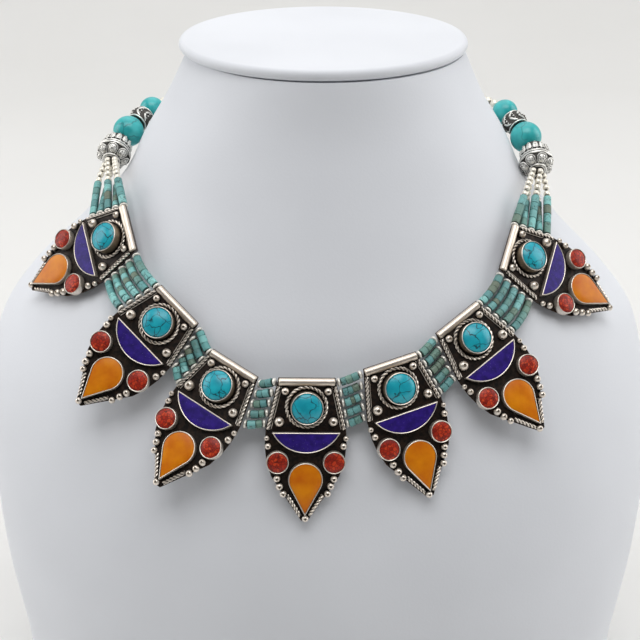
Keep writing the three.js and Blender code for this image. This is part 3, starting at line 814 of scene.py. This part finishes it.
def build_plate(number):
    """A plate's silverwork and its stones. Gives the plate's place, for the strands."""
    place = plate_place(number)
    shape = Shape()
    add_box(shape, place)
    add_bar(shape, place)
    add_rope(shape, place, level(full_circle(0, 0, 6.5, 96), 0.45), 0.33, 3, closed=True)
    add_bezel(shape, place, CABOCHON_OUTLINE, CABOCHON_BEZEL, AGED_PAINT)
    add_bezel(shape, place, half_moon, HALF_MOON["bezel"])
    add_bezel(shape, place, drop, DROP["bezel"])
    for side, outline in CORAL_OUTLINES.items():
        add_bezel(shape, place, outline, CORAL["bezel"])
        add_side_strip(shape, place, side)
        lower = straight((side * 5.8, -29.2, ROPE_HEIGHT), (side * 1.5, -36, ROPE_HEIGHT))
        add_rope(shape, place, lower, 0.34, ROPE_PITCH)
        for x, y, diameter in GRANULES:
            radius = diameter / 2 * chance.uniform(0.94, 1.06)
            shift = [chance.uniform(-0.15, 0.15) for _ in range(2)]
            add_granule(shape, place, side * x + shift[0], y + shift[1], radius)
    add_granule(shape, place, chance.uniform(-0.9, 0.3), -36.9, 1.15)
    make_piece(f"plate_silverwork_{number}", shape, PLATE_PAINTS, "silver", f"plate_{number}")

    for name, node, slot, paint, outline, edge_top, rise, middle, flat in STONES:
        stone = Shape()
        add_stone(stone, place, outline, edge_top, rise, middle, flat)
        make_piece(f"{name}_{number}", stone, [paint], slot, f"{node}_{number}", sharp=50)
    return place


# ----- strands -----

def side_x(y):
    """Half the plate's width where a strand goes through its slanting sides."""
    (top_x, top_y), (shoulder_x, shoulder_y) = PLATE_OUTLINE[:2]
    return top_x + (shoulder_x - top_x) * (top_y - y) / (top_y - shoulder_y)


def plate_exit(place, strand, side, room):
    """Where a strand is when it has come out of a plate's side by room."""
    y = STRAND_TOP_Y - strand * STRAND_PITCH
    return place.out((side * (side_x(y) + room), y, -PLATE_THICKNESS / 2))


def neck_curve(name, sign):
    """The middle line of the single string on one side, from the cap bead's mouth to the clasp."""
    points = []
    for angle, height, off in NECK_FRONTS[name] + NECK_BACK:
        turn = radians(angle)
        points.append(off_bust(turn if sign > 0 else pi - turn, height, off))
    return catmull(points)


def cross_axes(way, outward, side):
    """Two directions square to a way: across towards the first strand, and out from the chest."""
    along = unit(way)
    out = unit(outward - along * (outward @ along))
    return np.cross(along, out) * -side, out


THREAD_START = 0.2  # inside the plate's side
THREAD_END = {"inside": 1.2, "spread": 0.45}  # in the cap bead
GATHER_STEPS = 40


def end_curve(place, strand, side, neck):
    """The line from an end plate to a cap bead, a point inside that, and how far on it gathers."""
    mouth, inward = neck[0], unit(neck[1] - neck[0])
    outward = place.axes[:, 2]
    across_share, out_share = MOUTH_PLACES[strand]
    middle = (STRAND_COUNT - 1) / 2
    start = plate_exit(place, middle, side, EXIT_ROOM)
    across, out = cross_axes(mouth - start, outward, side)
    gather = start + (mouth - start) * (GATHER["share"] + (strand - middle) * GATHER["slant"])
    shift = GATHER["shift"] - (GATHER["behind"] if out_share < 0 else 0)
    gather = gather + across * ((middle - strand) * GATHER["pitch"] + shift)
    gather = gather + out * (copysign(GATHER["stagger"], out_share) + GATHER["lift"])
    across, out = cross_axes(inward, outward, side)
    spread = across * across_share + out * out_share
    last = mouth - inward * MOUTH_ROOM + spread
    line = catmull([plate_exit(place, strand, side, EXIT_ROOM), gather, last], GATHER_STEPS)
    inside = mouth + inward * THREAD_END["inside"] + spread * THREAD_END["spread"]
    turn_point = lengths_along(line)[GATHER_STEPS] + EXIT_ROOM + THREAD_START
    return np.vstack([plate_exit(place, strand, side, -THREAD_START), line]), inside, turn_point


def heishi_profile(radius, length):
    """A short tube with its hole and with slightly worn edges."""
    hole, edge = 0.45, 0.14
    return [(hole, -length / 2), (radius - edge, -length / 2), (radius, -length / 2 + edge),
            (radius, length / 2 - edge), (radius - edge, length / 2), (hole, length / 2)]


BEAD_SIDES = 16


def string_bead(shape, path, distance, profile, paint, tint=0.5, wobble=0.0):
    """A turned bead threaded on a path, with its middle at a distance along it."""
    point, way = at_distance(path, distance)
    way = way + wobble * np.array([chance.uniform(-1, 1) for _ in range(3)])
    shape.cover(place_on(point, way), turned(profile, BEAD_SIDES), paint=paint, tint=tint)


PLATE_BEAD = {"radius": 1.42, "length": 1.45}
LINK_ROOM = 0.1  # from a plate's side to a link's line
LONG_LINK = 9
TUBE_LENGTHS = {"short_link": 2.1, "long_link": 2.9, "end": 3.4}
TUBE_GAP = 0.06
TUBES_STOP = (1.2, 2.1)  # before the point where a strand gathers
SILVER_PITCH = 3.5
SILVER_SWELL = (1.08, 1.2)  # over the CAD's plain line of them
COLLAR_ROOM = 0.7  # beyond the last silver bead
# The range of tube shades in each link, with the duller ones towards the right: these are painted
# shade.
LINK_TINTS = [(0, 1), (0.1, 1), (0.6, 1), (0.6, 1), (0.6, 1), (0.5, 1)]
STRAND_THREAD = 0.35
STRAND_PAINTS = [HEISHI, BEAD_SILVER, DISC_SILVER, THREAD]
SILVER_BEAD, SILVER_DISC, THREAD_LINE = 1, 2, 3


def string_tubes(shape, path, start, end, nominal, tints=(0, 1)):
    """Heishi tubes of uneven length that fill the path between two distances."""
    count = max(1, round((end - start) / (nominal * chance.uniform(0.8, 1.2))))
    shares = np.array([chance.uniform(0.7, 1.3) for _ in range(count)])
    sizes = shares / shares.sum() * (end - start)
    distance = start
    for size in sizes:
        radius = TUBE_RADIUS * chance.uniform(0.94, 1)
        profile = heishi_profile(radius, size - TUBE_GAP)
        string_bead(shape, path, distance + size / 2, profile, 0, chance.uniform(*tints), 0.025)
        distance += size


def string_plate_bead(shape, path, distance):
    radius = PLATE_BEAD["radius"] * chance.uniform(0.95, 1.05)
    profile = ball_profile(radius, PLATE_BEAD["length"], 9, 24)
    string_bead(shape, path, distance, profile, SILVER_DISC, wobble=0.08)


def string_link(shape, path, tints):
    """Between two plates: a flat silver bead at each end and tubes between them."""
    total = lengths_along(path)[-1]
    bead = PLATE_BEAD["length"]
    string_plate_bead(shape, path, bead / 2)
    string_plate_bead(shape, path, total - bead / 2)
    nominal = TUBE_LENGTHS["long_link" if total > LONG_LINK else "short_link"]
    string_tubes(shape, path, bead, total - bead, nominal, tints)


def string_end(shape, path, silver_start):
    """From an end plate to the cap bead: a flat silver bead, tubes and then small round beads."""
    total = lengths_along(path)[-1]
    bead = PLATE_BEAD["length"]
    string_plate_bead(shape, path, bead / 2)
    string_tubes(shape, path, bead, silver_start, TUBE_LENGTHS["end"])
    run = total - COLLAR_ROOM - silver_start
    count = round(run / SILVER_PITCH)
    pitch = run / count
    for index in range(count):
        profile = ball_profile(SILVER_RADIUS * chance.uniform(*SILVER_SWELL), pitch * 0.8, 11)
        middle = silver_start + (index + 0.5) * pitch
        string_bead(shape, path, middle, profile, SILVER_BEAD, wobble=0.05)


def build_strand(strand, places, necks):
    shape = Shape()
    threads = []
    for place, side, name in ((places[0], -1, "left"), (places[-1], 1, "right")):
        path, inside, turn_point = end_curve(place, strand, side, necks[name])
        string_end(shape, path, turn_point - chance.uniform(*TUBES_STOP))
        threads.append(np.vstack([path, inside]))
    for place, following, tints in zip(places, places[1:], LINK_TINTS):
        start = plate_exit(place, strand, 1, LINK_ROOM)
        end = plate_exit(following, strand, -1, LINK_ROOM)
        path = bridge(start, place.axes[:, 0], end, following.axes[:, 0], LINK_PULLS, 30)
        string_link(shape, path, tints)
        threads.append(path)
    for path in threads:
        shape.add(*skin(tube(resampled(path, 30), STRAND_THREAD, 6)), THREAD_LINE)
    make_piece(f"beaded_strand_{strand + 1}", shape, STRAND_PAINTS, "heishi", f"strand_{strand + 1}")


# ----- cap beads, round beads and the back -----

def add_ring(shape, place, radius, z, wire):
    ring = level(full_circle(0, 0, radius), z)
    shape.cover(place, tube(ring, wire, 8, closed=True), closed=True)


def add_grain(shape, place, centre, radius):
    shape.cover(place, turned(ball_profile(radius, 2 * radius, 8), 8) + centre)


def around(radius, z, count, offset=0.0):
    """Evenly spaced points on a circle about Z."""
    for index in range(count):
        angle = 2 * pi * (index + offset) / count
        yield angle, np.array([radius * cos(angle), radius * sin(angle), z])


# The cap bead's body as radius and z, with its mouth at the lower end.
CAP_BODY = [(1.5, -5.0), (1.9, -5.7), (2.5, -6.0), (3.2, -5.7), (4.3, -4.8), (5.2, -3.7), (5.7, -2.4),
            (5.7, -0.6), (5.35, 0.6), (5.05, 2.0), (4.7, 3.8), (4.0, 5.0), (2.2, 5.1), (1.0, 4.8)]
PETAL_COUNT = 7
PETAL = {
    "radius": 4.5, "z": -4.5, "tilt": 52, "half_width": 1.82, "half_height": 2.15, "rise": 1.05,
}
# Wires laid on a petal: their share of its plan, their radius and their height.
PETAL_WIRES = [(0.92, 0.34, 0.3), (0.26, 0.2, 1.1)]
PETAL_GRAINS = [(-1.1, 0.8), (1.05, 0.85), (-1.15, -0.4), (1.1, -0.45), (0.1, -1.2), (0, 1.25)]
CROWN_COUNT = 13
# A crown leaf's half width and half depth at shares of its length.
CROWN_LEAF = [(0, 0.8, 0.3), (0.2, 1.1, 0.4), (0.5, 1.05, 0.42), (0.8, 0.75, 0.35), (1, 0.3, 0.15)]
# Radius, z and wire radius of the mouth's two rings and of the two belts.
CAP_RINGS = [(3.0, -6.0, 0.42), (2.4, -6.2, 0.34), (5.9, -2.25, 0.48), (5.8, -1.15, 0.42)]
CAP_PAINTS = [CAP_SILVER, CREVICE]
CREVICE_PAINT = 1


def radial_and_side(angle):
    x, y = cos(angle), sin(angle)
    return np.array([x, y, 0]), np.array([-y, x, 0])


def add_petal(shape, place, angle):
    """A plump petal facing towards the mouth, with a raised edge, a small leaf and grains on it."""
    radial, side = radial_and_side(angle)
    tilt = radians(PETAL["tilt"])
    out = radial * cos(tilt) - np.array([0, 0, sin(tilt)])
    axes = place.axes @ np.column_stack([side, np.cross(out, side), out])
    petal = Place(place.out(radial * PETAL["radius"] + (0, 0, PETAL["z"])), axes)

    def bent(points, height):
        """Points of the petal's flat plan, laid over the shoulder at a height."""
        fall = points[:, 0] ** 2 / 9 + points[:, 1] ** 2 / 12
        return np.column_stack([points, height - fall])

    turn = np.linspace(0, 2 * pi, 33)[:-1]
    # The plan is a little wider towards the crown than beside the mouth.
    plan = np.column_stack([PETAL["half_width"] * (1 + 0.14 * np.sin(turn)) * np.cos(turn),
                            PETAL["half_height"] * np.sin(turn)])
    rings = [bent(plan * 0.8, -0.8), bent(plan, 0.1)]
    for share in (0.9, 0.7, 0.45, 0.1):
        rings.append(bent(plan * share, 0.1 + PETAL["rise"] * (1 - share ** 2.5)))
    shape.cover(petal, rings)
    for share, wire, height in PETAL_WIRES:
        shape.cover(petal, tube(bent(plan * share, height), wire, 8, closed=True), closed=True)
    for x, y in PETAL_GRAINS:
        x, y, size = (value + chance.uniform(-0.08, 0.08) for value in (x, y, 0.26))
        add_grain(shape, petal, bent(np.array([(x, y)]), 0.92)[0], size)


def add_crown_tooth(shape, place, angle):
    """A small plump leaf at the bead's back, pointing along the bead."""
    radial, side = radial_and_side(angle)
    rings = []
    for share, width, depth in CROWN_LEAF:
        middle = radial * (5.45 - 0.6 * share) + (0, 0, 0.4 + 3.6 * share)
        rings.append([middle + side * width * cos(a) + radial * depth * sin(a)
                      for a in np.linspace(0, 2 * pi, 13)[:-1]])
    shape.cover(place, rings)
    for height, size in ((1.2, 0.3), (2.3, 0.36), (3.4, 0.28)):
        add_grain(shape, place, radial * (5.85 - height / 6) + (0, 0, height), size)


def build_cap(name, place, node):
    """An ornate bead: petals round its mouth, two wires behind them and a crown of small leaves."""
    shape = Shape()
    # The dark body between the petals is partly oxide, partly painted shade.
    shape.cover(place, turned(CAP_BODY, 48), paint=CREVICE_PAINT)
    for angle, _ in around(0, 0, PETAL_COUNT):
        add_petal(shape, place, angle)
    for radius, z, wire in CAP_RINGS:
        add_ring(shape, place, radius, z, wire)
    for _, point in around(5.6, -0.25, 3 * PETAL_COUNT):
        add_grain(shape, place, point, 0.34)
    for angle, _ in around(0, 0, CROWN_COUNT):
        add_crown_tooth(shape, place, angle)
    for _, point in around(5.45, 1.0, CROWN_COUNT, 0.5):
        add_grain(shape, place, point, 0.28)
    make_piece(name, shape, CAP_PAINTS, "silver", node)


POLISHED_OFF = 0.13


def build_round(radius, name, place, node):
    """A round stone bead with its drilled hole, polished a little smaller than its plain ball."""
    radius -= POLISHED_OFF
    hole, depth = 0.9, 1.0
    start = degrees(asin(hole / radius))
    ball = ball_profile(radius, 2 * radius, 31, start)
    profile = [(hole, depth - radius), *ball, (hole, radius - depth)]
    shape = Shape()
    shape.cover(place, turned(profile, 64))
    make_piece(name, shape, [ROUND_TURQUOISE], "turquoise", node)


def build_rondelle(name, place, node):
    """A drum of silver, hollow at its ends: crescents one over the other between two rims."""
    shape = Shape()
    flank = [(1.0, -1.9), (2.6, -2.0), (3.3, -2.5), (3.7, -3.0), (4.0, -2.6), (4.2, -1.6), (4.3, -0.5)]
    body = flank + [(radius, -z) for radius, z in reversed(flank)]
    # The dark body between the crescents is partly oxide, partly painted shade.
    shape.cover(place, turned(body, 48), paint=CREVICE_PAINT)
    for z in (-2.85, 2.85):
        add_ring(shape, place, 3.8, z, 0.32)
    crescents = 8
    off_axis = (0.01, 0.02, 1)  # because a crescent runs along Z at its middle
    for index in range(crescents):
        share = np.linspace(-1, 1, 15)
        angles = 2 * pi * (index + 0.62 * share ** 2) / crescents
        radii = 4.4 - 0.4 * share ** 2
        line = np.column_stack([radii * np.cos(angles), radii * np.sin(angles), 2.4 * share])
        width = 0.36 * np.sqrt(1 - (0.9 * share) ** 2) + 0.1
        shape.cover(place, tube(line, width, 8, up=off_axis))
        angle = 2 * pi * (index + 0.42) / crescents
        for z, size in ((0, 0.36), (-1.2, 0.3), (1.2, 0.3)):
            radius = 4.35 - 0.05 * abs(z)
            add_grain(shape, place, (radius * cos(angle), radius * sin(angle), z), size)
    make_piece(name, shape, CAP_PAINTS, "silver", node)


BACK_BEAD_RADIUS = 1.68
BACK_THREAD = 0.42

# The large beads of a side's single string: piece, builder, length and CAD node.
LARGE_BEADS = [
    ("cap_silver_{}", build_cap, CAP_LENGTH, "cap_bead_{}"),
    ("round_stone_{}_1", partial(build_round, ROUND_RADIUS), 2 * ROUND_RADIUS, "turquoise_round_{}_1"),
    ("rondelle_silver_{}", build_rondelle, RONDELLE_LENGTH, "silver_rondelle_{}"),
    ("round_stone_{}_2", partial(build_round, BACK_ROUND_RADIUS), 2 * BACK_ROUND_RADIUS,
     "turquoise_round_{}_2"),
]


def build_neck_string(name, neck):
    """One side's large beads and the small silver beads from them to the clasp."""
    distance = 0
    for piece, build, length, node in LARGE_BEADS:
        start, end = (at_distance(neck, distance + reach)[0] for reach in (0, length))
        build(piece.format(name), place_on((start + end) / 2, end - start), node.format(name))
        distance += length + BEAD_GAP
    clasp_start = lengths_along(neck)[-1] - CLASP_LENGTH / 2 - GAP
    count = floor((clasp_start - distance) / SMALL_BEAD_PITCH)
    pitch = (clasp_start - distance) / count
    shape = Shape()
    for index in range(count):
        profile = ball_profile(BACK_BEAD_RADIUS, pitch * 0.99, 11)
        string_bead(shape, neck, distance + (index + 0.5) * pitch, profile, 0)
    string = np.array([at_distance(neck, d)[0] for d in np.linspace(CAP_LENGTH - 1, clasp_start, 90)])
    shape.add(*skin(tube(string, BACK_THREAD, 6)), 1)
    make_piece(f"back_beads_{name}", shape, [BEAD_SILVER, THREAD], "silver", f"back_strand_{name}")


def build_clasp(neck):
    """A plain barrel with a turned ring at each end."""
    place = place_on(neck[-1], (1, 0, 0))
    half = CLASP_LENGTH / 2
    shape = Shape()
    profile = [(0.8, -half), (1.6, -half), (1.8, -half + 0.3), (2.3, -half + 1), (2.5, -half + 2.2)]
    profile += [(radius, -z) for radius, z in reversed(profile)]
    shape.cover(place, turned(profile, 40))
    for z in (-half + 2.4, -0.5, 0.5, half - 2.4):
        add_ring(shape, place, 2.42, z, 0.16)
    make_piece("clasp_barrel", shape, [CAP_SILVER], "silver", "clasp")


# ----- stage and light -----

def build_stage():
    """A pale floor that curves up into the backdrop."""
    paint = Paint("pale_paper", Roughness=0.9)
    paint.set("Base Color", paint.mix(paint.noise(180, 2), (228, 227, 224), (233, 232, 230)))
    half_width, near, bend, back, top = 2.5, -1.6, 0.7, 0.9, 2.2
    profile = [(near, 0), (back, 0)]
    for angle in np.radians(np.linspace(-90, 0, 17)):
        profile.append((back + bend * cos(angle), bend + bend * sin(angle)))
    profile.append((back + bend, top))
    points = [(x, y, z) for y, z in profile for x in (-half_width, half_width)]
    faces = [(2 * i, 2 * i + 1, 2 * i + 3, 2 * i + 2) for i in range(len(profile) - 1)]
    mesh = bpy.data.meshes.new("backdrop")
    mesh.from_pydata(points, [], faces)
    mesh.materials.append(paint.material)
    mesh.shade_smooth()
    add_object("backdrop", mesh)


# Soft boxes: name, place, aim, width, height and power in watts.
SOFT_BOXES = [
    ("overhead_back", (0, 1.0, 1.9), (0, 0.1, 0.1), 2.2, 1.4, 14.5),
    ("overhead_front", (0, -0.5, 1.8), (0, 0, 0.2), 1.6, 1.0, 17.5),
    ("left_box", (-1.3, 0.15, 0.7), (0, 0, 0.2), 1.0, 1.2, 9),
    ("right_box", (1.3, 0.15, 0.7), (0, 0, 0.2), 1.0, 1.2, 9),
]


def build_lights():
    for name, spot, target, width, height, power in SOFT_BOXES:
        data = bpy.data.lights.new(name, "AREA")
        data.shape = "RECTANGLE"
        data.size = width
        data.size_y = height
        data.energy = power
        light = add_object(name, data)
        way = np.array(target) - np.array(spot)
        light.location = spot
        flat = hypot(way[0], way[1])
        light.rotation_euler = (atan2(flat, -way[2]), 0, atan2(-way[0], way[1]))
    world = bpy.data.worlds.new("studio")
    world.use_nodes = True
    background = world.node_tree.nodes["Background"]
    background.inputs["Color"].default_value = (0.94, 0.97, 1.0, 1)
    background.inputs["Strength"].default_value = 0.1
    bpy.context.scene.world = world
    bpy.context.scene.view_settings.view_transform = "Standard"


build_stage()
build_lights()
build_bust()
build_disc()
plate_places = [build_plate(number) for number in range(1, len(PLATE_TURNS) + 1)]
neck_lines = {name: neck_curve(name, sign) for name, sign in SIDES}
for strand_number in range(STRAND_COUNT):
    build_strand(strand_number, plate_places, neck_lines)
for side_name, neck_line in neck_lines.items():
    build_neck_string(side_name, neck_line)
build_clasp(neck_lines["left"])
